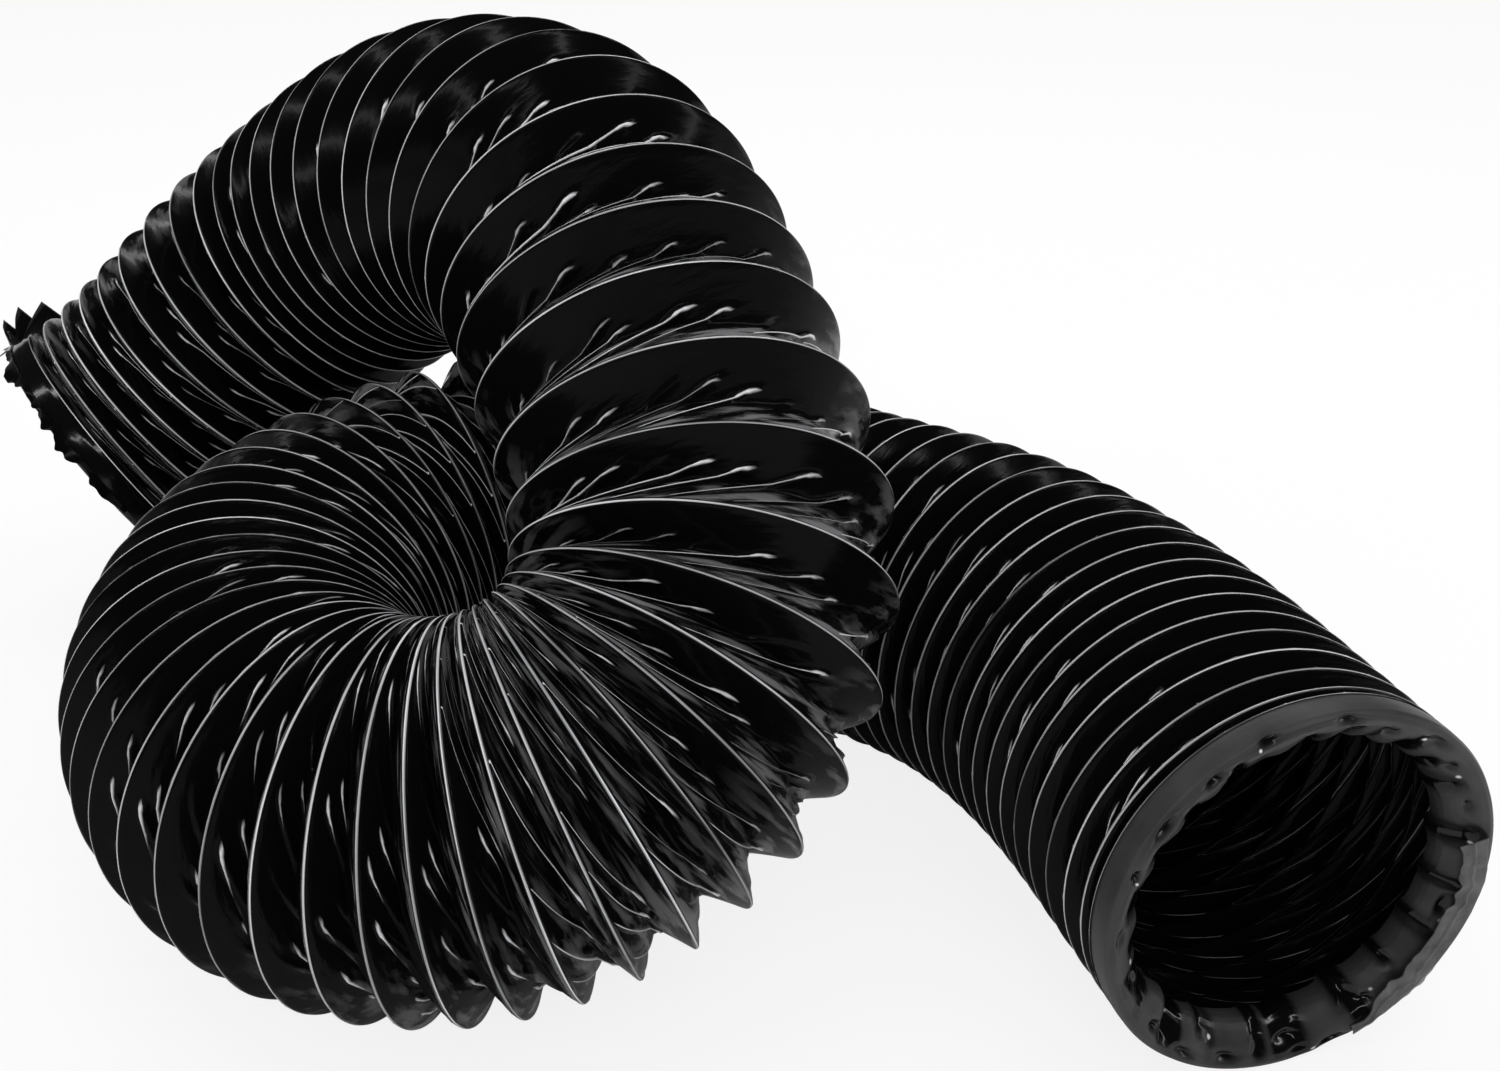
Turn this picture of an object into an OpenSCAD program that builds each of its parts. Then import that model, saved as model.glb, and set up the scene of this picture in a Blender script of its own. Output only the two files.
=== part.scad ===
// Flexible air duct: a coiled spring wire in a folded plastic film sleeve, lying in a loose loop.
// The sleeve and its wire are cut into short sections, so that the duct can bend and stretch.

/* [Duct] */
// Outside diameter over the turns of the wire
duct_d = 108; // [100:1:120]
// Thickness of the film wall
film_t = 0.8; // [0.6:0.1:1]
// Thickness of the spring wire
wire_d = 1.2; // [0.8:0.1:1.3]
// Deepest dip of the film between two open turns
fold_depth = 11; // [6:0.5:13]
// Dip of the film for each millimetre between two turns
fold_slope = 0.8; // [0.6:0.05:0.9]

/* [Ends] */
// Length of the straight hem that slides over a spigot
hem_len = 8; // [6:0.5:16]
// Depth of the hem from the outside to its bore
hem_depth = 3.2; // [2.8:0.1:4.5]
// Width of the gathered lip behind each hem
lip_w = 9; // [5:0.5:12]
// How far the loose cut film stands out of the right-hand mouth
flap_len = 9; // [3:0.5:14]
// How far the trimmed film stands out of the left-hand mouth
trim_len = 4; // [2:0.5:8]
// How far round the mouth the loose cut film runs, in degrees
flap_angle = 70; // [30:5:120]

/* [Sections] */
// Gap between two sections, along the film
section_gap = 0.8; // [0.6:0.1:1]
// Angle left open between the wire ends of two sections, in degrees
wire_gap_angle = 3; // [2:0.5:5]

/* [Hidden] */

film_color = "#17171a";
hem_color = "#2b2b2f";
wire_color = "#9a9da3";

// The route of the duct's middle line, for a duct of route_d: each point pulls the line towards
// itself, and its fourth number is how many turns of wire the duct has had by there.
route_d = 108;
route = [
    [-270, 110,  24, -9],
    [-160, 190,  54, 0.5],
    [-106, 197, 114, 6.5],
    [ -68, 196, 142, 10],
    [ -25, 165, 175, 14],
    [  28, 105, 183, 18.5],
    [  51,  53, 149, 22.5],
    [  73,   2, 110, 25],
    [  59, -35,  74, 28.5],
    [   8, -55,  52, 34.5],
    [ -58, -34,  55, 42],
    [ -86,  65,  55, 49.5],
    [ -15, 144,  69, 57.5],
    [  75, 137,  54, 62.5],
    [ 107,  98,  54, 68.5],
    [ 157,  61,  58, 73.5],
    [ 192,   0,  55, 80],
    [ 206, -54,  55, 85.5],
    [ 215, -80,  54, 88.5],
    [ 224, -116, 54, 93.5]
];
// Where the middle of the duct's footprint lies on that route, and its lowest point
footprint = [33.27, 73.99, 0.11];

turns = 89;             // turns of wire from end to end
end_pitch = 0.15;       // the first and last turns close up to this share of a full turn's rise
steps = 14;             // film panels around one turn
// Turns in each section of the duct
section_turns = [6, 6, 6, 6, 5, 6, 7, 7, 7, 8, 8, 8, 8];

duct_r = duct_d / 2;
wire_r = wire_d / 2;
bore_r = duct_r - hem_depth;
lip_r = bore_r - lip_w;
wire_room = 0.5;        // clearance between the wire and the film
seam_gap = 0.3;         // clearance between a hem and the first turn
// The film leaves the wire at its steepest with this half angle
fold_half_angle = atan(0.5 / fold_slope);
wire_path_r = duct_r - film_t - (wire_r + wire_room) / sin(fold_half_angle);
route_scale = [duct_d, duct_d, duct_d, route_d] / route_d;
pieces = len(route) - 3;

// Middle line: a smooth curve through the pull of four points at a time, with u along it
function unit(v) = v / norm(v);
function scaled(p) = [for (i = [0:3]) p[i] * route_scale[i]];
function pull(u, k) = let (v = u - k)
    ((1 - v)^3 * route[k] + (3 * v^3 - 6 * v^2 + 4) * route[k + 1]
    + (3 * v + 3 * v^2 - 3 * v^3 + 1) * route[k + 2] + v^3 * route[k + 3]) / 6;
function heading(u, k) = let (v = u - k)
    (-(1 - v)^2 * route[k] + (3 * v^2 - 4 * v) * route[k + 1]
    + (1 + 2 * v - 3 * v^2) * route[k + 2] + v^2 * route[k + 3]) / 2;
function piece_at(u) = min(floor(u), pieces - 1);
function xyz(p) = [p[0], p[1], p[2]];
function middle(u) = xyz(scaled(pull(u, piece_at(u)))) - footprint * duct_d / route_d;
function direction(u) = unit(xyz(heading(u, piece_at(u))));
function turn_at(u) = pull(u, piece_at(u))[3];
// The place u where the duct has had a number of turns, by halving
function find(turn, low = 0, high = pieces, tries = 22) =
    let (mid = (low + high) / 2)
    tries == 0 ? mid
    : turn_at(mid) < turn ? find(turn, mid, high, tries - 1) : find(turn, low, mid, tries - 1);

// Stations: steps wide panels and the narrow one that closes each turn
function station_turn(i) = let (t = i / steps)
    t < 1 ? 1 - end_pitch * (1 - t)
    : t > turns - 1 ? turns - 1 + end_pitch * (t - turns + 1) : t;
function station_angle(i) = let (k = i % steps) k * (360 - wire_gap_angle) / (steps - 1);
// Unit vector from the middle line out to the wire: 0 degrees is to the left of the way along
function outward(t, angle) = let (side = unit(cross([0, 0, 1], t)), up = cross(t, side))
    cos(angle) * side - sin(angle) * up;
last_station = turns * steps;
stations = [for (i = [0:last_station])
    let (u = find(station_turn(i)), t = direction(u))
    [middle(u), outward(t, station_angle(i)), t]];
function on_radius(i, r) = stations[i][0] + r * stations[i][1];
function ridge(i) = on_radius(i, duct_r);
function valley(i) = let (p = ridge(i), q = ridge(i + steps), gap = norm(q - p))
    (p + q) / 2 - min(fold_depth, fold_slope * gap) * unit(stations[i][1] + stations[i + steps][1]);

// First station of each section, and the station where its film stops
function sum_to(v, n) = n == 0 ? 0 : v[n - 1] + sum_to(v, n - 1);
function section_start(s) = sum_to(section_turns, s) * steps;
function is_last(s) = s == len(section_turns) - 1;
function section_end(s) = section_start(s + 1) - (is_last(s) ? 0 : 1);

// A closed skin: rows of points around, each row one station, swept from the first to the last
function quad(a, b, c, d) = [[a, c, b], [a, d, c]];
function joined(lists) = [for (list = lists) each list];

// The film of one section. Outer points come first: its ridges, then its valleys; the same again
// one wall further in.
module film_section(s) {
    from = section_start(s);
    to = section_end(s);
    ridges = to - from + steps + 1;
    valleys = to - from + 1;
    // the last turn's edge is held back from the next section's first ridge
    function edge(j) = let (p = ridge(j), v = valley(j - steps))
        p + (v - p) * section_gap / norm(v - p);
    outer = concat(
        [for (j = [from:to + steps]) j > to && !is_last(s) ? edge(j) : ridge(j)],
        [for (j = [from:to]) valley(j)]);
    inward = concat(
        [for (j = [from:to + steps]) stations[j][1]],
        [for (j = [from:to]) unit(stations[j][1] + stations[j + steps][1])]);
    inner = [for (k = [0:len(outer) - 1]) outer[k] - film_t * inward[k]];
    n = len(outer);
    function r(j) = j;
    function v(j) = ridges + j;
    panels = joined([for (j = [0:valleys - 2])
        concat(quad(r(j), v(j), v(j + 1), r(j + 1)),
            quad(v(j), r(j + steps), r(j + 1 + steps), v(j + 1)))]);
    // the open rim at each end, once around and back across one panel
    first_rim = concat([for (j = [0:steps]) r(j)], [v(0)]);
    last_rim = concat([v(valleys - 1)], [for (j = [steps:-1:0]) r(valleys - 1 + j)]);
    function rim(loop) = joined([for (k = [0:len(loop) - 1])
        let (a = loop[k], b = loop[(k + 1) % len(loop)]) quad(a, b, b + n, a + n)]);
    polyhedron(
        points = concat(outer, inner),
        faces = concat(
            panels,
            [for (f = panels) [f[2] + n, f[1] + n, f[0] + n]],
            rim(first_rim), rim(last_rim)));
}

// The wire of one section: a square-edged coil just under the film's ridges
module wire_section(s) {
    from = section_start(s);
    to = section_end(s) + (is_last(s) ? steps : 0);
    count = to - from + 1;
    points = joined([for (j = [from:to])
        let (c = on_radius(j, wire_path_r), out = stations[j][1], t = stations[j][2])
        [c + wire_r * out, c + wire_r * t, c - wire_r * out, c - wire_r * t]]);
    sides = joined([for (j = [0:count - 2], k = [0:3])
        let (a = 4 * j + k, b = 4 * j + (k + 1) % 4) quad(a, b, b + 4, a + 4)]);
    end = 4 * (count - 1);
    polyhedron(
        points = points,
        faces = concat(sides, quad(3, 2, 1, 0), quad(end, end + 1, end + 2, end + 3)));
}

// A mouth's own frame: +Z out of the duct, starting where the film sections end
module at_mouth(b) {
    place = stations[b ? last_station : 0];
    out = b ? place[2] : -place[2];
    translate(place[0] + seam_gap * out)
        rotate([0, acos(out[2]), atan2(out[1], out[0])])
            children();
}

// Film turned in over the end ring: outer wall, rolled mouth, bore and gathered lip
module hem() {
    rotate_extrude($fn = 96)
        polygon([
            [duct_r, 0], [duct_r, hem_len], [bore_r, hem_len], [bore_r, film_t],
            [lip_r, film_t], [lip_r, 0], [bore_r + film_t, 0],
            [bore_r + film_t, hem_len - film_t],
            [duct_r - film_t, hem_len - film_t], [duct_r - film_t, 0]]);
}

// The closed wire ring inside the rolled mouth
module end_ring() {
    pocket = hem_depth - 2 * film_t;
    translate([0, 0, hem_len - film_t - pocket / 2])
        rotate_extrude($fn = 96)
            translate([bore_r + film_t + pocket / 2, 0])
                circle(d = min(wire_d, pocket - 2 * seam_gap / 3), $fn = 24);
}

// A strip of loose film that stands out of a mouth past its rolled edge
module loose_film(length, from_angle, angle) {
    rotate([0, 0, from_angle])
        translate([0, 0, hem_len])
            rotate_extrude(angle = angle, $fn = 96)
                translate([duct_r - film_t, 0])
                    square([film_t, length]);
}

module film_node(s) { color(film_color) film_section(s); }
module wire_node(s) { color(wire_color) wire_section(s); }
module hem_a() { color(hem_color) at_mouth(false) hem(); }
module hem_b() { color(hem_color) at_mouth(true) hem(); }
module ring_a() { color(wire_color) at_mouth(false) end_ring(); }
module ring_b() { color(wire_color) at_mouth(true) end_ring(); }
module trim_a() { color(film_color) at_mouth(false) loose_film(trim_len, 90, 180); }
module flap_b() { color(film_color) at_mouth(true) loose_film(flap_len, 10, flap_angle); }

film_node(0);  // skin_01
film_node(1);  // skin_02
film_node(2);  // skin_03
film_node(3);  // skin_04
film_node(4);  // skin_05
film_node(5);  // skin_06
film_node(6);  // skin_07
film_node(7);  // skin_08
film_node(8);  // skin_09
film_node(9);  // skin_10
film_node(10);  // skin_11
film_node(11);  // skin_12
film_node(12);  // skin_13
wire_node(0);  // wire_01
wire_node(1);  // wire_02
wire_node(2);  // wire_03
wire_node(3);  // wire_04
wire_node(4);  // wire_05
wire_node(5);  // wire_06
wire_node(6);  // wire_07
wire_node(7);  // wire_08
wire_node(8);  // wire_09
wire_node(9);  // wire_10
wire_node(10);  // wire_11
wire_node(11);  // wire_12
wire_node(12);  // wire_13
hem_a();
hem_b();
ring_a();
ring_b();
trim_a();
flap_b();
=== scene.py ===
import math

import bmesh
import bpy
import numpy as np
from mathutils import Matrix, Vector


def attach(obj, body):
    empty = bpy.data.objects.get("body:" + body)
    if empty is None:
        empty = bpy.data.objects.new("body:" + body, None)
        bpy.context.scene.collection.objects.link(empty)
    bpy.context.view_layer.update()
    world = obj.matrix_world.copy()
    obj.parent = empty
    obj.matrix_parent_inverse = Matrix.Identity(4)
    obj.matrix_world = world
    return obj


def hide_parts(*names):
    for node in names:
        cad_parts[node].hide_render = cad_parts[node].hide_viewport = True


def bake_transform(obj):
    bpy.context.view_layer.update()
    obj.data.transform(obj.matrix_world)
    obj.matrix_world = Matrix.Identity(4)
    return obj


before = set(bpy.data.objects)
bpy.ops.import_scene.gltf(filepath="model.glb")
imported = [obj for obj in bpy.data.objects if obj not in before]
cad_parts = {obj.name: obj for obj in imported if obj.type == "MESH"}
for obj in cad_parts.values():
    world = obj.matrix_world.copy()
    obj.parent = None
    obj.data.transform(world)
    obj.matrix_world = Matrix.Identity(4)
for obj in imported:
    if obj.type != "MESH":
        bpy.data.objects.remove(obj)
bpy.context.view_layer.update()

# Film sleeve: one long tube of thin black PVC film, welded in a strip around the coiled wire.
# Between two turns it sinks to a waist, and the twist of the coil draws it into slanting creases
# that run from one turn of the wire to the next. It is cut in pieces at the middle of each section.
DUCT_RADIUS = 0.054
BEAD_RADIUS = 0.001
SLIMMER, SLIMMER_TURN, SLIMMER_SPAN = 0.0022, 56.5, 4.0
FOLD_DEPTH = 0.011
FOLD_SLOPE = 0.8
FOLD_CURVE = 1.12  # 1 is a sharp fold and 2 a round waist
TURNS = 89
END_PITCH = 0.15
SECTION_TURNS = (6, 6, 6, 6, 5, 6, 7, 7, 7, 8, 8, 8, 8)
FOOTPRINT = np.array((0.03327, 0.07399, 0.00011))
ROUTE = np.array(
    (
        (-0.270, 0.110, 0.024, -9),
        (-0.160, 0.190, 0.054, 0.5),
        (-0.106, 0.197, 0.114, 6.5),
        (-0.068, 0.196, 0.142, 10),
        (-0.025, 0.165, 0.175, 14),
        (0.028, 0.105, 0.183, 18.5),
        (0.051, 0.053, 0.149, 22.5),
        (0.073, 0.002, 0.110, 25),
        (0.059, -0.035, 0.074, 28.5),
        (0.008, -0.055, 0.052, 34.5),
        (-0.058, -0.034, 0.055, 42),
        (-0.086, 0.065, 0.055, 49.5),
        (-0.015, 0.144, 0.069, 57.5),
        (0.075, 0.137, 0.054, 62.5),
        (0.107, 0.098, 0.054, 68.5),
        (0.157, 0.061, 0.058, 73.5),
        (0.192, 0.000, 0.055, 80),
        (0.206, -0.054, 0.055, 85.5),
        (0.215, -0.080, 0.054, 88.5),
        (0.224, -0.116, 0.054, 93.5),
    )
)


def route_at(u):
    """Point, turn count and heading of the route at u: each route point pulls the line its way."""
    k = np.minimum(u.astype(int), len(ROUTE) - 4)
    v = (u - k)[:, None]
    a, b, c, d = ROUTE[k], ROUTE[k + 1], ROUTE[k + 2], ROUTE[k + 3]
    place = ((1 - v) ** 3 * a + (3 * v**3 - 6 * v**2 + 4) * b) / 6
    place += ((1 + 3 * v + 3 * v**2 - 3 * v**3) * c + v**3 * d) / 6
    pull = -((1 - v) ** 2) * a + (3 * v**2 - 4 * v) * b + (1 + 2 * v - 3 * v**2) * c + v**2 * d
    return place, pull[:, :3] / np.linalg.norm(pull[:, :3], axis=1)[:, None]


ALONG = np.linspace(0, len(ROUTE) - 3.000001, 8001)
TURN_ALONG = route_at(ALONG)[0][:, 3]


def coil_at(turn):
    """Middle of the duct, its heading, and the way out to the wire, after that much wire."""
    squeezed = np.where(turn < 1, 1 - END_PITCH * (1 - turn), turn)
    squeezed = np.where(turn > TURNS - 1, TURNS - 1 + END_PITCH * (turn - TURNS + 1), squeezed)
    place, heading = route_at(np.interp(squeezed, TURN_ALONG, ALONG))
    side = np.cross((0.0, 0.0, 1.0), heading)
    side /= np.linalg.norm(side, axis=1)[:, None]
    up = np.cross(heading, side)
    angle = 2 * math.pi * (turn % 1.0)[:, None]
    return place[:, :3] - FOOTPRINT, heading, np.cos(angle) * side - np.sin(angle) * up


def radius_at(turn):
    """The duct's radius, a little less behind the arch, which the tube would touch when it bends."""
    near = np.exp(-(((turn - SLIMMER_TURN) / SLIMMER_SPAN) ** 2))
    return (DUCT_RADIUS - SLIMMER * near)[:, None]


def chance(number, salt):
    """A steady random value from 0 to 1 for a whole number."""
    wave = np.sin(number * 12.9898 + salt * 78.233) * 43758.5453
    return wave - np.floor(wave)


STEPS = 168  # grid lines in one turn
LEAN = 30  # grid lines that a crease slips back between one turn of wire and the next
PLEAT = 8  # grid lines from one crease to the next
BEAD_ROWS = 3
FILM_ROWS = 18
LIMB_END, LOOP_END = 33, 52  # between these turns a crease runs to the turn before its head


def film_points(first, last):
    """Rows of points of the film, from grid line first to last, and how strongly highlights are painted on
    its bead crests and creases.
    """
    line = np.arange(first, last + 1)
    number = (line + PLEAT // 2) // PLEAT
    on_crease = line % PLEAT == 0
    beside = np.minimum(line % PLEAT, PLEAT - line % PLEAT)
    at_turn = number * PLEAT / STEPS
    # each crease: how strong, where its head lies, and how far it wanders
    strength = chance(number, 1.0)
    head = 0.28 + 0.2 * chance(number, 2.0)
    head = np.where(at_turn > LIMB_END, 0.6 + 0.22 * chance(number, 2.0), head)
    head = np.where(at_turn > LOOP_END, 0.3 + 0.16 * chance(number, 2.0), head)
    from_near_side = (at_turn > LIMB_END) & (at_turn <= LOOP_END)
    weakest = np.where(from_near_side, 0.3, 0.2)  # creases weaker than this get no painted highlight line
    before, after = line // PLEAT, line // PLEAT + 1
    blend = (line % PLEAT) / PLEAT
    wander = (1 - blend) * chance(before, 4.0) + blend * chance(after, 4.0)
    rows, painted_crest_highlight, painted_crease_glint = [], [], []
    for row in range(FILM_ROWS + 2 * BEAD_ROWS + 1):
        mirrored = row > BEAD_ROWS + FILM_ROWS / 2
        level = FILM_ROWS + 2 * BEAD_ROWS - row if mirrored else row
        share = np.clip((row - BEAD_ROWS) / FILM_ROWS, 0, 1)
        slip = LEAN * share + 5.0 * (wander - 0.5) * math.sin(math.pi * share)
        turn = np.clip((line - slip) / STEPS, 0, TURNS - 1)
        here, _, out_here = coil_at(turn)
        there, _, out_there = coil_at(turn + 1)
        low, high = here + radius_at(turn) * out_here, there + radius_at(turn + 1) * out_there
        gap = np.linalg.norm(high - low, axis=1)
        out = out_here + out_there
        out /= np.linalg.norm(out, axis=1)[:, None]
        depth = np.minimum(FOLD_DEPTH, FOLD_SLOPE * gap)
        bead = np.minimum(BEAD_RADIUS, 0.4 * gap)
        lean = np.full(len(gap), 1.1)
        for _ in range(8):
            reach = np.maximum(gap / 2 - bead * np.sin(lean), 1e-5)
            sink = depth - bead * (1 - np.cos(lean))
            lean = np.arctan(FOLD_CURVE * sink / reach)
        reach = np.maximum(gap / 2 - bead * np.sin(lean), 1e-5)
        sink = depth - bead * (1 - np.cos(lean))
        if level <= BEAD_ROWS:
            turned = lean * level / BEAD_ROWS
            across, dip = bead * np.sin(turned), bead * (1 - np.cos(turned))
        else:
            x = reach * 2 * (level - BEAD_ROWS) / FILM_ROWS
            across = bead * np.sin(lean) + x
            dip = bead * (1 - np.cos(lean)) + sink * (1 - np.abs(1 - x / reach) ** FOLD_CURVE)
        v = across / gap
        if mirrored:
            v = 1 - v
        at_head = np.exp(-(((v - head) / 0.07) ** 2))
        running = np.clip((v - head + 0.03) / 0.04, 0, 1) * np.clip((0.985 - v) / 0.05, 0, 1)
        running_back = np.clip((head + 0.03 - v) / 0.04, 0, 1) * np.clip((v - 0.015) / 0.05, 0, 1)
        reached = np.where(from_near_side, running_back, running)
        # a crease is drawn taut from its head to the wire, above the fold that it crosses
        head_dip = sink * (1 - np.abs(1 - (gap * head - bead * np.sin(lean)) / reach) ** FOLD_CURVE)
        taut = head_dip * np.where(from_near_side, v / head, (1 - v) / (1 - head))
        rib = np.exp(-((beside / (0.75 + 0.7 * at_head)) ** 2))
        raised = 0.55 * np.clip(dip - taut, 0, None) + 0.05 * np.minimum(gap, 0.024) * (0.5 + at_head)
        lift = rib * reached * (0.3 + 0.7 * strength) * raised
        rows.append(low + (high - low) * v[:, None] - out * (dip - lift)[:, None])
        # painted highlight along the crest of each bead, strongest on its top row
        crest = (1.0, 0.72, 0.0, 0.0)[level] if level <= BEAD_ROWS else 0.0
        painted_crest_highlight.append(np.full(len(gap), crest))
        # painted highlight along each crease line, with a painted glint on its head
        faded = np.where(from_near_side, 0.66 + 0.34 * np.clip((v - head + 0.2) / 0.12, 0, 1), 1.0)
        line_on = np.where(on_crease, (0.72 + 0.28 * strength) * reached * faded, 0.0)
        head_on = np.where(beside <= 1, at_head * (1 - 0.12 * beside) * (0.75 + 0.25 * strength), 0.0)
        painted_crease_glint.append(np.where(strength > weakest, np.maximum(line_on, head_on), 0.0))
    return np.stack(rows), np.stack(painted_crest_highlight), np.stack(painted_crease_glint)


film_material = bpy.data.materials.new("glossy black film")
film_material.use_nodes = True
nodes, links = film_material.node_tree.nodes, film_material.node_tree.links
shader = nodes["Principled BSDF"]
shader.inputs["Specular IOR Level"].default_value = 0.06
# painted highlight on the bead crests: a thin pale line along each turn of wire, dimmer in noise patches
crest_highlight_read = nodes.new("ShaderNodeAttribute")
crest_highlight_read.attribute_name = "painted_crest_highlight"
thin = nodes.new("ShaderNodeMapRange")
thin.interpolation_type = "SMOOTHSTEP"
thin.inputs["From Min"].default_value = 0.6
thin.inputs["From Max"].default_value = 0.9
links.new(crest_highlight_read.outputs["Fac"], thin.inputs["Value"])
along_film = nodes.new("ShaderNodeUVMap")
along_film.uv_map = "film"
patches = nodes.new("ShaderNodeTexNoise")
patches.inputs["Scale"].default_value = 9
patches.inputs["Detail"].default_value = 2.0
links.new(along_film.outputs["UV"], patches.inputs["Vector"])
uneven_highlight = nodes.new("ShaderNodeMapRange")
uneven_highlight.inputs["From Min"].default_value = 0.35
uneven_highlight.inputs["From Max"].default_value = 0.65
uneven_highlight.inputs["To Min"].default_value = 0.06
uneven_highlight.inputs["To Max"].default_value = 1.0
links.new(patches.outputs["Fac"], uneven_highlight.inputs["Value"])
outside = nodes.new("ShaderNodeNewGeometry")
outer_face = nodes.new("ShaderNodeMapRange")  # the painted crest highlight is left off the inner side, which the wire covers
outer_face.inputs["To Min"].default_value = 1.0
outer_face.inputs["To Max"].default_value = 0.0
links.new(outside.outputs["Backfacing"], outer_face.inputs["Value"])
outer_crest_highlight = nodes.new("ShaderNodeMath")
outer_crest_highlight.operation = "MULTIPLY"
links.new(uneven_highlight.outputs["Result"], outer_crest_highlight.inputs[0])
links.new(outer_face.outputs["Result"], outer_crest_highlight.inputs[1])
crests = nodes.new("ShaderNodeMath")
crests.operation = "MULTIPLY"
links.new(thin.outputs["Result"], crests.inputs[0])
links.new(outer_crest_highlight.outputs["Value"], crests.inputs[1])
# painted highlight along the creases and on their heads, dimmer on the inner side
crease_glint_read = nodes.new("ShaderNodeAttribute")
crease_glint_read.attribute_name = "painted_crease_glint"
sharp = nodes.new("ShaderNodeMapRange")
sharp.interpolation_type = "SMOOTHSTEP"
sharp.inputs["From Min"].default_value = 0.66
sharp.inputs["From Max"].default_value = 0.95
links.new(crease_glint_read.outputs["Fac"], sharp.inputs["Value"])
# all painted highlights: the bead crests and the creases
painted_highlights = nodes.new("ShaderNodeMath")
painted_highlights.operation = "MAXIMUM"
links.new(crests.outputs["Value"], painted_highlights.inputs[0])
inner_side = nodes.new("ShaderNodeMapRange")
inner_side.inputs["To Min"].default_value = 1.0
inner_side.inputs["To Max"].default_value = 0.3
links.new(outside.outputs["Backfacing"], inner_side.inputs["Value"])
crease_glints = nodes.new("ShaderNodeMath")
crease_glints.operation = "MULTIPLY"
links.new(sharp.outputs["Result"], crease_glints.inputs[0])
links.new(inner_side.outputs["Result"], crease_glints.inputs[1])
links.new(crease_glints.outputs["Value"], painted_highlights.inputs[1])
grain = nodes.new("ShaderNodeMapping")
grain.inputs["Scale"].default_value = (60, 260, 1)
links.new(along_film.outputs["UV"], grain.inputs["Vector"])
crinkle = nodes.new("ShaderNodeTexNoise")
crinkle.inputs["Scale"].default_value = 1.0
crinkle.inputs["Detail"].default_value = 4.0
links.new(grain.outputs["Vector"], crinkle.inputs["Vector"])
edge_on = nodes.new("ShaderNodeLayerWeight")  # painted reflection: grey flecks where the crinkled film would mirror the pale room at its edges
edge_on.inputs["Blend"].default_value = 0.5
edges = nodes.new("ShaderNodeMapRange")
edges.inputs["From Min"].default_value = 0.4
edges.inputs["From Max"].default_value = 0.95
edges.inputs["To Max"].default_value = 0.3
links.new(edge_on.outputs["Facing"], edges.inputs["Value"])
facets = nodes.new("ShaderNodeMapRange")
facets.inputs["From Min"].default_value = 0.48
facets.inputs["From Max"].default_value = 0.6
links.new(crinkle.outputs["Fac"], facets.inputs["Value"])
painted_edge_reflection = nodes.new("ShaderNodeMath")
painted_edge_reflection.operation = "MULTIPLY"
links.new(edges.outputs["Result"], painted_edge_reflection.inputs[0])
links.new(facets.outputs["Result"], painted_edge_reflection.inputs[1])
painted_light_amount = nodes.new("ShaderNodeMath")
painted_light_amount.operation = "MAXIMUM"
links.new(painted_highlights.outputs["Value"], painted_light_amount.inputs[0])
links.new(painted_edge_reflection.outputs["Value"], painted_light_amount.inputs[1])
# the black film's colour, mixed towards pale grey where highlights and reflections are painted
tone = nodes.new("ShaderNodeMix")
tone.data_type = "RGBA"
tone.inputs["A"].default_value = (0.0025, 0.0025, 0.0028, 1)
tone.inputs["B"].default_value = (0.8, 0.8, 0.82, 1)
links.new(painted_light_amount.outputs["Value"], tone.inputs["Factor"])
links.new(tone.outputs["Result"], shader.inputs["Base Color"])
gloss = nodes.new("ShaderNodeMapRange")
gloss.inputs["To Min"].default_value = 0.1
gloss.inputs["To Max"].default_value = 0.22
links.new(patches.outputs["Fac"], gloss.inputs["Value"])
links.new(gloss.outputs["Result"], shader.inputs["Roughness"])
dents = nodes.new("ShaderNodeBump")
dents.inputs["Strength"].default_value = 0.25
dents.inputs["Distance"].default_value = 0.0012
links.new(crinkle.outputs["Fac"], dents.inputs["Height"])
links.new(dents.outputs["Normal"], shader.inputs["Normal"])

SECTION_STARTS = [0]
for count in SECTION_TURNS:
    SECTION_STARTS.append(SECTION_STARTS[-1] + count)
MIDDLES = [round(STEPS * (a + b) / 2) for a, b in zip(SECTION_STARTS, SECTION_STARTS[1:])]
CUTS = [0] + MIDDLES + [(TURNS - 1) * STEPS + LEAN]


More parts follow.
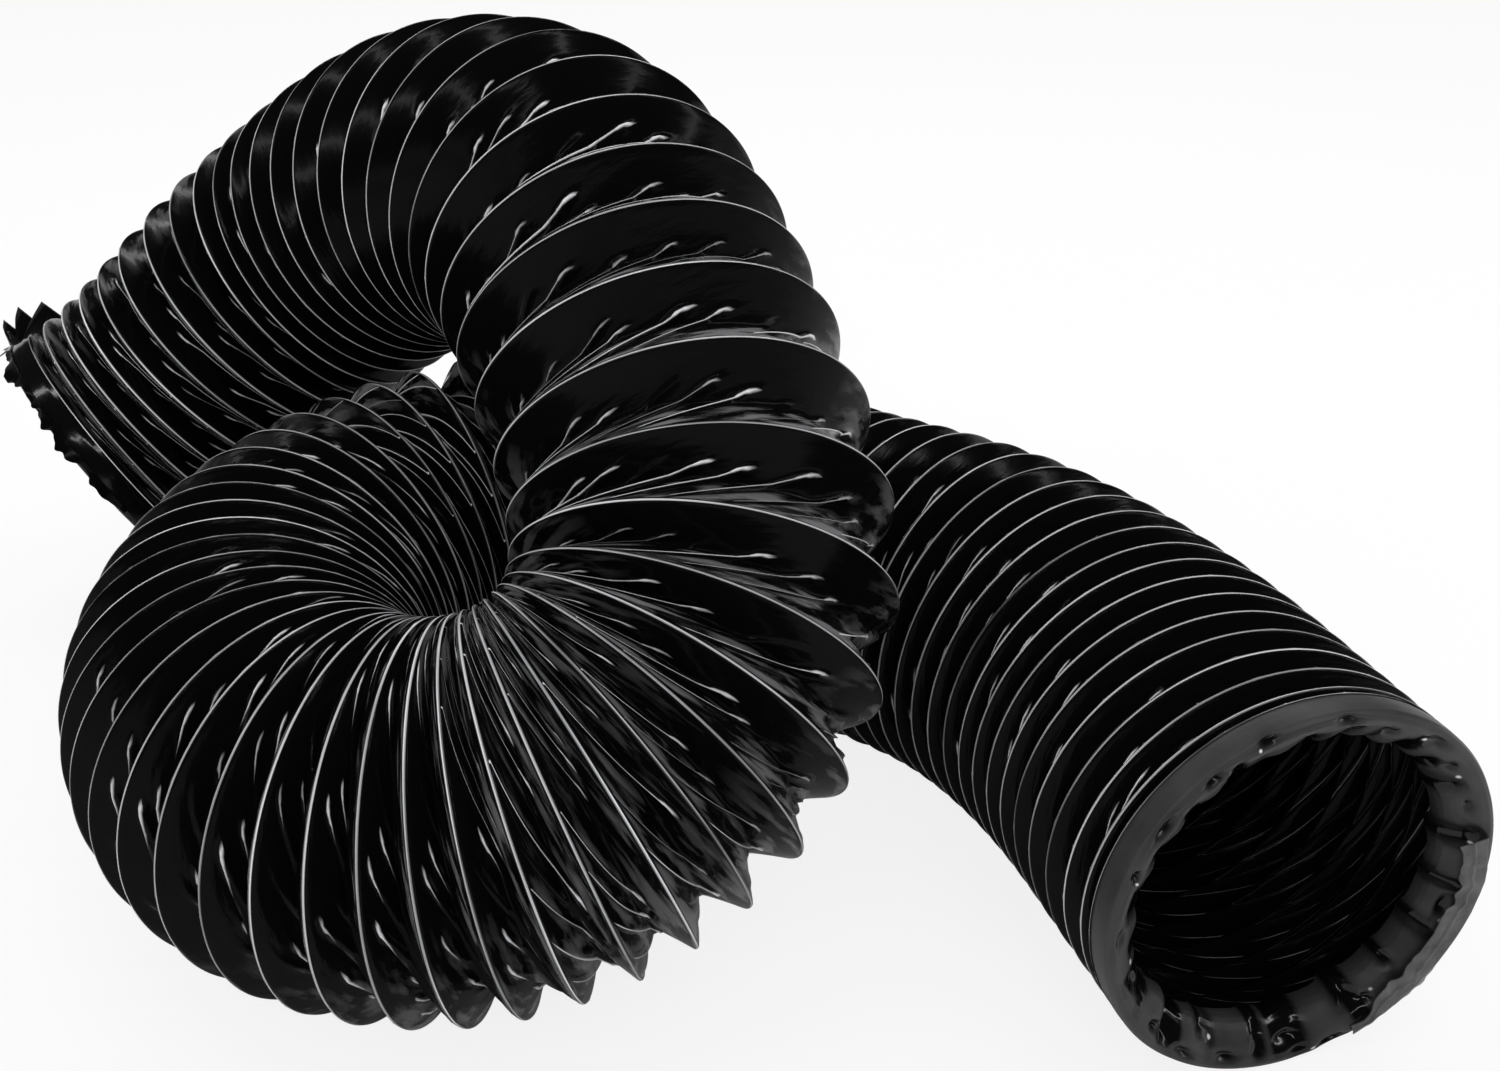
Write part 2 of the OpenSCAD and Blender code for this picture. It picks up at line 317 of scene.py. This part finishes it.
def bends_at(number, piece):
    """Fixes a piece that crosses joint number where it lies; the joint's heading and the coil near its two
    cuts are worked out but not used, so the piece does not bend.
    """
    joint_turn = np.array([float(SECTION_STARTS[number])])
    heading = coil_at(joint_turn)[1][0]
    before = coil_at(np.linspace(MIDDLES[number - 1] / STEPS - 0.3, MIDDLES[number - 1] / STEPS + 1.1, 60))
    after = coil_at(np.linspace(MIDDLES[number] / STEPS - 0.3, MIDDLES[number] / STEPS + 1.1, 60))
    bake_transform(piece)


for number in range(len(CUTS) - 1):
    first, last = CUTS[number], CUTS[number + 1]
    points, painted_crest_highlight, painted_crease_glint = film_points(first, last)
    bm = bmesh.new()
    bmesh.ops.create_grid(bm, x_segments=last - first, y_segments=points.shape[0] - 1, size=1)
    layer = bm.loops.layers.uv.new("film")
    crest_highlight_layer = bm.verts.layers.float.new("painted_crest_highlight")
    crease_glint_layer = bm.verts.layers.float.new("painted_crease_glint")
    bm.verts.ensure_lookup_table()
    width = last - first + 1
    for vert in bm.verts:
        row, column = divmod(vert.index, width)
        vert.co = points[row, column]
        vert[crest_highlight_layer] = painted_crest_highlight[row, column]
        vert[crease_glint_layer] = painted_crease_glint[row, column]
    for face in bm.faces:
        for loop in face.loops:
            row, column = divmod(loop.vert.index, width)
            loop[layer].uv = ((first + column) / STEPS * 0.34, row / (points.shape[0] - 1) * 0.02)
        face.smooth = True
    bmesh.ops.reverse_faces(bm, faces=bm.faces)
    bmesh.ops.remove_doubles(bm, verts=bm.verts, dist=2e-6)
    mesh = bpy.data.meshes.new(f"film_sleeve_{number + 1:02d}")
    bm.to_mesh(mesh)
    bm.free()
    piece = bpy.data.objects.new(f"film_sleeve_{number + 1:02d}", mesh)
    bpy.context.scene.collection.objects.link(piece)
    mesh.materials.append(film_material)
    if number == 0:
        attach(piece, "section_01")
        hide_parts("skin_01")
    elif number == len(CUTS) - 2:
        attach(piece, "section_13")
        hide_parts("skin_13")
    else:
        bends_at(number, piece)
        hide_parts(f"skin_{number:02d}", f"skin_{number + 1:02d}")

# Spring wire: one length of drawn steel wire, coiled from mouth to mouth inside the film's folds,
# dark with the varnish that keeps it from rusting. It is cut at the same places as the film.
WIRE_RADIUS = 0.0006
WIRE_DEPTH = 0.0022
WIRE_STEPS = 72
WIRE_SIDES = 6

wire_material = bpy.data.materials.new("varnished spring wire")
wire_material.use_nodes = True
nodes, links = wire_material.node_tree.nodes, wire_material.node_tree.links
shader = nodes["Principled BSDF"]
shader.inputs["Metallic"].default_value = 1.0
place = nodes.new("ShaderNodeTexCoord")
drawn = nodes.new("ShaderNodeTexNoise")
drawn.inputs["Scale"].default_value = 900
links.new(place.outputs["Object"], drawn.inputs["Vector"])
varnish = nodes.new("ShaderNodeValToRGB")
varnish.color_ramp.elements[0].color = (0.008, 0.008, 0.009, 1)
varnish.color_ramp.elements[1].color = (0.02, 0.02, 0.022, 1)
links.new(drawn.outputs["Fac"], varnish.inputs["Fac"])
links.new(varnish.outputs["Color"], shader.inputs["Base Color"])
scratched = nodes.new("ShaderNodeMapRange")
scratched.inputs["To Min"].default_value = 0.25
scratched.inputs["To Max"].default_value = 0.5
links.new(drawn.outputs["Fac"], scratched.inputs["Value"])
links.new(scratched.outputs["Result"], shader.inputs["Roughness"])

for number in range(len(CUTS) - 1):
    first = round(CUTS[number] * WIRE_STEPS / STEPS)
    last = TURNS * WIRE_STEPS if number == len(CUTS) - 2 else round(CUTS[number + 1] * WIRE_STEPS / STEPS)
    turn = np.arange(first, last + 1) / WIRE_STEPS
    here, heading, out = coil_at(turn)
    angle = np.linspace(0, 2 * math.pi, WIRE_SIDES + 1)[:, None, None]
    ring = WIRE_RADIUS * (np.cos(angle) * out + np.sin(angle) * heading)
    points = here + (radius_at(turn) - WIRE_DEPTH) * out + ring
    bm = bmesh.new()
    bmesh.ops.create_grid(bm, x_segments=last - first, y_segments=WIRE_SIDES, size=1)
    for vert in bm.verts:
        row, column = divmod(vert.index, last - first + 1)
        vert.co = points[row, column]
    bmesh.ops.remove_doubles(bm, verts=bm.verts, dist=2e-6)
    bmesh.ops.holes_fill(bm, edges=[edge for edge in bm.edges if edge.is_boundary], sides=0)
    bmesh.ops.recalc_face_normals(bm, faces=bm.faces)
    for face in bm.faces:
        face.smooth = True
    mesh = bpy.data.meshes.new(f"spring_wire_{number + 1:02d}")
    bm.to_mesh(mesh)
    bm.free()
    piece = bpy.data.objects.new(mesh.name, mesh)
    bpy.context.scene.collection.objects.link(piece)
    mesh.materials.append(wire_material)
    if number == 0:
        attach(piece, "section_01")
        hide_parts("wire_01")
    elif number == len(CUTS) - 2:
        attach(piece, "section_13")
        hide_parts("wire_13")
    else:
        bends_at(number, piece)
        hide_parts(f"wire_{number:02d}", f"wire_{number + 1:02d}")

# Hems: at each mouth the film is turned in over a closed ring of wire and left loose inside,
# where it gathers into puckers because the tube's wall is longer than the smaller circle it meets.
HEM_PROFILE = (
    (0.0536, -0.0012),
    (0.0540, 0.0008),
    (0.0541, 0.0040),
    (0.0540, 0.0070),
    (0.0533, 0.0084),
    (0.0521, 0.0088),
    (0.0505, 0.0083),
    (0.0489, 0.0073),
    (0.0474, 0.0062),
    (0.0460, 0.0049),
    (0.0448, 0.0035),
    (0.0438, 0.0020),
    (0.0432, 0.0003),
    (0.0431, -0.0016),
    (0.0434, -0.0032),
)
HEM_STEPS = 420
HEM_GAP = 0.0003


def mouth_at(far):
    """Middle of a mouth and its three directions: down or up, across, and out of the duct."""
    middle, heading, _ = coil_at(np.array([TURNS if far else 0.0]))
    out = heading[0] if far else -heading[0]
    tilt, spin = math.acos(out[2]), math.atan2(out[1], out[0])
    down = np.array((math.cos(tilt) * math.cos(spin), math.cos(tilt) * math.sin(spin), -math.sin(tilt)))
    across = np.array((-math.sin(spin), math.cos(spin), 0.0))
    return middle[0] + HEM_GAP * out, down, across, out


hem_material = bpy.data.materials.new("satin hem film")
hem_material.use_nodes = True
nodes, links = hem_material.node_tree.nodes, hem_material.node_tree.links
shader = nodes["Principled BSDF"]
shader.inputs["Specular IOR Level"].default_value = 0.3
place = nodes.new("ShaderNodeTexCoord")
gathered = nodes.new("ShaderNodeAttribute")
gathered.attribute_name = "gathered"
cloudy = nodes.new("ShaderNodeTexNoise")
cloudy.inputs["Scale"].default_value = 90
cloudy.inputs["Detail"].default_value = 5
links.new(place.outputs["Object"], cloudy.inputs["Vector"])
shade = nodes.new("ShaderNodeValToRGB")
shade.color_ramp.elements[0].position = 0.3
shade.color_ramp.elements[0].color = (0.026, 0.026, 0.027, 1)
shade.color_ramp.elements[1].position = 0.7
shade.color_ramp.elements[1].color = (0.042, 0.042, 0.044, 1)
links.new(cloudy.outputs["Fac"], shade.inputs["Fac"])
# painted shade: near black in the slits, dents and puckers, and the left hem's own black outer wall
darker = nodes.new("ShaderNodeMix")
darker.data_type = "RGBA"
darker.inputs["B"].default_value = (0.0025, 0.0025, 0.0028, 1)
links.new(shade.outputs["Color"], darker.inputs["A"])
links.new(gathered.outputs["Fac"], darker.inputs["Factor"])
# painted highlight: pale glints beside some of the slits
glinting = nodes.new("ShaderNodeAttribute")
glinting.attribute_name = "glint"
bright_fold = nodes.new("ShaderNodeMapRange")
bright_fold.inputs["From Min"].default_value = 0.45
bright_fold.inputs["From Max"].default_value = 0.8
links.new(glinting.outputs["Fac"], bright_fold.inputs["Value"])
painted_glint_mix = nodes.new("ShaderNodeMix")
painted_glint_mix.data_type = "RGBA"
painted_glint_mix.inputs["B"].default_value = (0.7, 0.7, 0.72, 1)
links.new(darker.outputs["Result"], painted_glint_mix.inputs["A"])
links.new(bright_fold.outputs["Result"], painted_glint_mix.inputs["Factor"])
links.new(painted_glint_mix.outputs["Result"], shader.inputs["Base Color"])
sheen = nodes.new("ShaderNodeMapRange")
sheen.inputs["To Min"].default_value = 0.42
sheen.inputs["To Max"].default_value = 0.12
links.new(gathered.outputs["Fac"], sheen.inputs["Value"])
links.new(sheen.outputs["Result"], shader.inputs["Roughness"])
weld = nodes.new("ShaderNodeBump")
weld.inputs["Strength"].default_value = 0.2
weld.inputs["Distance"].default_value = 0.0008
links.new(cloudy.outputs["Fac"], weld.inputs["Height"])
links.new(weld.outputs["Normal"], shader.inputs["Normal"])


def hem(name, far, salt):
    """One hem: the rolled band around its ring and the puckered lip inside it."""
    middle, down, across, out = mouth_at(far)
    profile = np.array(HEM_PROFILE)
    # four steps from each point of the profile to the next
    stops = np.arange(len(profile))
    fine = np.linspace(0, len(profile) - 1, 4 * (len(profile) - 1) + 1)
    radius, height = (np.interp(fine, stops, profile[:, k]) for k in (0, 1))
    share = fine / fine[-1]
    angle = np.linspace(0, 2 * math.pi, HEM_STEPS + 1)
    sink = np.zeros((len(fine), len(angle)))
    wave = np.zeros(len(angle))
    for number in range(9, 30):
        push = (0.5 + chance(number, salt)) / math.sqrt(number)
        wave += push * np.cos(number * angle + 2 * math.pi * chance(number, salt + 0.7))
    # slits run in to the lip's edge and dents lie in the middle of the band; shade is painted black into
    # both, with a painted glint beside some slits
    dark, glint = np.zeros_like(sink), np.zeros_like(sink)
    inner = np.clip((share - 0.28) / 0.45, 0, 1) ** 1.5
    sink += 0.0007 * wave * inner[:, None]
    for number in range(40):
        where = 2 * math.pi * (number + 0.9 * (chance(number, salt + 1) - 0.5)) / 40
        width = math.radians(1.4 + 2.6 * chance(number, salt + 2))
        away = (angle - where + math.pi) % (2 * math.pi) - math.pi
        begin = 0.27 + 0.33 * chance(number, salt + 3)
        depth = 0.001 + 0.0022 * chance(number, salt + 4)
        if number % 2:
            along = np.clip((share - begin) / 0.12, 0, 1)
        else:
            along = np.exp(-(((share - begin) / 0.055) ** 2))
        slit = np.exp(-((away / width) ** 2)) * along[:, None]
        sink += depth * slit
        dark = np.maximum(dark, np.clip(2.2 * slit * (0.45 + 0.55 * chance(number, salt + 5)), 0, 1))
        # a painted glint beside every third slit
        if number % 3 == 1:
            spot = np.exp(-(((away - 1.3 * width) / (0.35 * width)) ** 2))
            spot = spot * np.exp(-(((share - begin - 0.06) / 0.035) ** 2))[:, None]
            glint = np.maximum(glint, spot)
    # painted shade in patches where the lip's wave sinks in
    painted_shade_patch = np.clip(1.4 * wave - 0.2, 0, 1) * np.clip((share - 0.3) / 0.14, 0, 1)[:, None]
    dark = np.maximum(dark, painted_shade_patch)
    if not far:  # the left hem's outer wall is as black as the sleeve
        dark = np.maximum(dark, np.clip((0.75 - share) / 0.1, 0, 1)[:, None])
    away_from_axis = radius[:, None] + 0.0006 * wave * np.clip((share - 0.7) / 0.3, 0, 1)[:, None]
    spoke = np.cos(angle)[:, None] * down + np.sin(angle)[:, None] * across
    points = middle + away_from_axis[..., None] * spoke + (height[:, None] - sink)[..., None] * out
    bm = bmesh.new()
    bmesh.ops.create_grid(bm, x_segments=HEM_STEPS, y_segments=len(fine) - 1, size=1)
    dark_layer = bm.verts.layers.float.new("gathered")
    glint_layer = bm.verts.layers.float.new("glint")
    for vert in bm.verts:
        row, column = divmod(vert.index, HEM_STEPS + 1)
        vert.co = points[row, column]
        vert[dark_layer] = dark[row, column]
        vert[glint_layer] = glint[row, column]
    bmesh.ops.remove_doubles(bm, verts=bm.verts, dist=2e-6)
    for face in bm.faces:
        face.smooth = True
    mesh = bpy.data.meshes.new(name)
    bm.to_mesh(mesh)
    bm.free()
    piece = bpy.data.objects.new(name, mesh)
    bpy.context.scene.collection.objects.link(piece)
    mesh.materials.append(hem_material)
    return piece


HEMS = (("hem_left", False, 3.0, "section_01"), ("hem_right", True, 8.0, "section_13"))
for name, far, salt, body in HEMS:
    piece = hem(name, far, salt)
    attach(piece, body)
    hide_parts("hem_b" if far else "hem_a")

# End rings: a closed ring of the same spring wire inside each hem, which keeps the mouth round.
# The film is turned over it, so it is hidden, and its solid keeps its shape and takes the finish.
for name in ("ring_a", "ring_b"):
    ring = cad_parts[name]
    for slot in ring.material_slots:
        slot.material = wire_material

# Loose film: the duct was cut from a longer one, so a strip of torn film is left at each mouth.
# On the right it is the end of the welded seam, folded over the hem and frayed at its lower end;
# on the left the film was trimmed along the hem, and torn at the top, where points stand up.
FLAP_FROM, FLAP_TO = math.radians(24), math.radians(99)
FLAP_WIDTH = 0.0085
FLAP_FRAY = 0.0042
FLAP_RADIUS, FLAP_HEIGHT, FLAP_TUCK = 0.0528, 0.0093, 0.0016
TRIM_FROM, TRIM_TO = math.radians(92), math.radians(268)
TRIM_HEIGHT = 0.004
TRIM_RADIUS, TRIM_FOOT = 0.0546, 0.0060
# a tear at the top of the cut edge, with points that stand up side by side
TEAR_AT, TEAR_WIDTH, TEAR_BACK = math.radians(221), math.radians(9), 0.019
TEAR_POINTS = ((0.18, 0.014), (0.55, 0.018), (0.88, 0.017))
LOOSE_ROWS = 24


def ragged(angle, slow, salt):
    """A torn edge from 0 to 1 along an angle: slow waves with finer tears on them."""
    edge = np.zeros(len(angle))
    for number in range(slow, 90):
        push = (0.3 + chance(number, salt)) / number**0.75
        edge += push * np.cos(number * angle + 6.28 * chance(number, salt + 0.3))
    return np.clip(0.5 + edge / (4 * edge.std()), 0, 1)


def loose_film(name, far, angle, radius, height, material):
    """A thin strip of film at a mouth, from rows of radius and height at each angle."""
    middle, down, across, out = mouth_at(far)
    spoke = np.cos(angle)[:, None] * down + np.sin(angle)[:, None] * across
    points = middle + radius[..., None] * spoke + height[..., None] * out
    bm = bmesh.new()
    bmesh.ops.create_grid(bm, x_segments=len(angle) - 1, y_segments=LOOSE_ROWS, size=1)
    for vert in bm.verts:
        row, column = divmod(vert.index, len(angle))
        vert.co = points[row, column]
    for face in bm.faces:
        face.smooth = True
    mesh = bpy.data.meshes.new(name)
    bm.to_mesh(mesh)
    bm.free()
    piece = bpy.data.objects.new(name, mesh)
    bpy.context.scene.collection.objects.link(piece)
    mesh.materials.append(material)
    wall = piece.modifiers.new("wall", "SOLIDIFY")
    wall.thickness, wall.offset = 0.0003, 0.0
    return piece


flap_material = bpy.data.materials.new("torn flap film")
flap_material.use_nodes = True
nodes, links = flap_material.node_tree.nodes, flap_material.node_tree.links
shader = nodes["Principled BSDF"]
shader.inputs["Specular IOR Level"].default_value = 0.4
shader.inputs["Roughness"].default_value = 0.38
place = nodes.new("ShaderNodeTexCoord")
cloudy = nodes.new("ShaderNodeTexNoise")
cloudy.inputs["Scale"].default_value = 160
cloudy.inputs["Detail"].default_value = 6
links.new(place.outputs["Object"], cloudy.inputs["Vector"])
shade = nodes.new("ShaderNodeValToRGB")
shade.color_ramp.elements[0].position = 0.35
shade.color_ramp.elements[0].color = (0.04, 0.04, 0.042, 1)
shade.color_ramp.elements[1].position = 0.75
shade.color_ramp.elements[1].color = (0.11, 0.11, 0.113, 1)
links.new(cloudy.outputs["Fac"], shade.inputs["Fac"])
links.new(shade.outputs["Color"], shader.inputs["Base Color"])
crumple = nodes.new("ShaderNodeBump")
crumple.inputs["Strength"].default_value = 0.6
crumple.inputs["Distance"].default_value = 0.0015
links.new(cloudy.outputs["Fac"], crumple.inputs["Height"])
links.new(crumple.outputs["Normal"], shader.inputs["Normal"])

share = np.linspace(0, 1, LOOSE_ROWS + 1)[:, None]
angle = np.linspace(FLAP_FROM, FLAP_TO, 260)
low_end = np.clip((math.radians(62) - angle) / math.radians(14), 0.08, 1)
outside = FLAP_FRAY * low_end * ragged(angle, 12, 5.0) ** 1.5
narrowing = np.clip((angle - FLAP_FROM) / 0.25, 0.3, 1)
inside = FLAP_WIDTH * (0.8 + 0.2 * ragged(angle, 8, 7.0)) * narrowing
across_flap = outside - share * (outside + inside)
seam = 0.0004 * np.exp(-(((share - 0.55) / 0.05) ** 2))
ripple = 0.0004 * np.sin(31 * angle + 2 * np.sin(9 * angle)) * share
flap = loose_film(
    "torn_flap",
    True,
    angle,
    FLAP_RADIUS - FLAP_TUCK * np.clip((angle - 1.45) / 0.25, 0, 1) + across_flap,
    FLAP_HEIGHT - np.where(across_flap > 0, 0.5 * across_flap, -0.03 * across_flap) + ripple + seam,
    flap_material,
)
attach(flap, "section_13")
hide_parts("flap_b")

angle = np.linspace(TRIM_FROM, TRIM_TO, 520)
points_up = ragged(angle, 6, 6.0) ** 1.5
fade = np.clip((angle - TRIM_FROM) / 0.2, 0, 1) * np.clip((TRIM_TO - angle) / 0.2, 0, 1)
torn = np.clip(1 - np.abs(angle - TEAR_AT) / TEAR_WIDTH, 0, 1)
points_out = sum(
    length * np.clip(1 - np.abs(share - where) / 0.17, 0, 1) for where, length in TEAR_POINTS
)
trim = loose_film(
    "cut_edge",
    False,
    angle,
    TRIM_RADIUS - 0.0006 * np.sin(23 * angle) * share + torn * points_out,
    TRIM_FOOT - TEAR_BACK * torn * (1 - share) + (0.0015 + TRIM_HEIGHT * points_up * fade) * share,
    film_material,
)
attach(trim, "section_01")
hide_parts("trim_a")

# Studio: a pale floor that the camera sees as white and that keeps the duct's shadow, long narrow
# lamps that give the film thin highlights, a sky that is dark in reflections, and the camera.
bm = bmesh.new()
bmesh.ops.create_grid(bm, x_segments=1, y_segments=1, size=12)
mesh = bpy.data.meshes.new("studio_floor")
bm.to_mesh(mesh)
bm.free()
floor = bpy.data.objects.new("studio_floor", mesh)
bpy.context.scene.collection.objects.link(floor)
pale = bpy.data.materials.new("pale floor")
pale.use_nodes = True
nodes, links = pale.node_tree.nodes, pale.node_tree.links
nodes["Principled BSDF"].inputs["Base Color"].default_value = (0.9, 0.9, 0.9, 1)
nodes["Principled BSDF"].inputs["Roughness"].default_value = 0.9
paper = nodes.new("ShaderNodeEmission")
paper.inputs["Color"].default_value = (1, 1, 1, 1)
rays = nodes.new("ShaderNodeLightPath")
seen = nodes.new("ShaderNodeMath")
seen.operation = "MULTIPLY"
seen.inputs[1].default_value = 0.85
links.new(rays.outputs["Is Camera Ray"], seen.inputs[0])
whiten = nodes.new("ShaderNodeMixShader")
links.new(seen.outputs["Value"], whiten.inputs["Fac"])
links.new(nodes["Principled BSDF"].outputs["BSDF"], whiten.inputs[1])
links.new(paper.outputs["Emission"], whiten.inputs[2])
links.new(whiten.outputs["Shader"], nodes["Material Output"].inputs["Surface"])
mesh.materials.append(pale)

world = bpy.data.worlds.new("studio")
bpy.context.scene.world = world
world.use_nodes = True
nodes, links = world.node_tree.nodes, world.node_tree.links
sky = nodes["Background"]
sky.inputs["Color"].default_value = (1, 1, 1, 1)
sky.inputs["Strength"].default_value = 0.65
backdrop = nodes.new("ShaderNodeBackground")
backdrop.inputs["Color"].default_value = (1, 1, 1, 1)
dark_room = nodes.new("ShaderNodeBackground")
dark_room.inputs["Color"].default_value = (1, 1, 1, 1)
dark_room.inputs["Strength"].default_value = 0.03
rays = nodes.new("ShaderNodeLightPath")
toward = nodes.new("ShaderNodeTexCoord")
height = nodes.new("ShaderNodeSeparateXYZ")
links.new(toward.outputs["Generated"], height.inputs["Vector"])
above = nodes.new("ShaderNodeMapRange")
above.inputs["From Min"].default_value = 0.02
above.inputs["From Max"].default_value = 0.12
links.new(height.outputs["Z"], above.inputs["Value"])
mirrored = nodes.new("ShaderNodeMixShader")
links.new(above.outputs["Result"], mirrored.inputs["Fac"])
links.new(backdrop.outputs["Background"], mirrored.inputs[1])
links.new(dark_room.outputs["Background"], mirrored.inputs[2])
shiny = nodes.new("ShaderNodeMath")
shiny.operation = "MAXIMUM"
links.new(rays.outputs["Is Glossy Ray"], shiny.inputs[0])
links.new(rays.outputs["Is Transmission Ray"], shiny.inputs[1])
lit = nodes.new("ShaderNodeMixShader")
links.new(shiny.outputs["Value"], lit.inputs["Fac"])
links.new(sky.outputs["Background"], lit.inputs[1])
links.new(mirrored.outputs["Shader"], lit.inputs[2])
shown = nodes.new("ShaderNodeMixShader")
links.new(rays.outputs["Is Camera Ray"], shown.inputs["Fac"])
links.new(lit.outputs["Shader"], shown.inputs[1])
links.new(backdrop.outputs["Background"], shown.inputs[2])
links.new(shown.outputs["Shader"], nodes["World Output"].inputs["Surface"])


def lamp(name, place, aim, width, height, watts):
    """A soft rectangular lamp at a place, turned to what it lights."""
    data = bpy.data.lights.new(name, "AREA")
    data.shape = "RECTANGLE"
    data.size, data.size_y = width, height
    data.energy = watts
    holder = bpy.data.objects.new(name, data)
    bpy.context.scene.collection.objects.link(holder)
    holder.location = place
    holder.rotation_euler = (Vector(aim) - Vector(place)).to_track_quat("-Z", "Y").to_euler()


lamp("lamp_back", (0.1, 1.1, 1.0), (0, 0, 0.1), 1.6, 0.06, 4)
lamp("lamp_top", (0.0, -0.1, 1.4), (0, 0, 0.1), 1.6, 0.06, 4)
lamp("lamp_left", (-1.2, -0.1, 0.8), (0, 0, 0.1), 0.06, 1.4, 3)
lamp("lamp_right", (1.2, -0.1, 0.9), (0, 0, 0.1), 0.06, 1.4, 3)
lamp("lamp_front", (0.0, -1.3, 1.1), (0, 0, 0.1), 1.2, 0.06, 3)

camera_data = bpy.data.cameras.new("camera")
camera_data.sensor_width = 36
camera_data.lens = 36 * 1726 / 1500
camera_data.clip_start, camera_data.clip_end = 0.01, 50
camera = bpy.data.objects.new("camera", camera_data)
bpy.context.scene.collection.objects.link(camera)
bpy.context.scene.camera = camera
yaw, pitch, roll = -0.0047, 0.4590, -0.0146
ahead = Vector((math.sin(yaw) * math.cos(pitch), math.cos(yaw) * math.cos(pitch), -math.sin(pitch)))
right = Vector((math.cos(yaw), -math.sin(yaw), 0))
up = right.cross(ahead)
right, up = right * math.cos(roll) + up * math.sin(roll), up * math.cos(roll) - right * math.sin(roll)
turn = Matrix((right, up, -ahead)).transposed()
camera.matrix_world = Matrix.Translation((0.04865, -0.49957, 0.32472)) @ turn.to_4x4()

bpy.context.scene.view_settings.view_transform = "Standard"
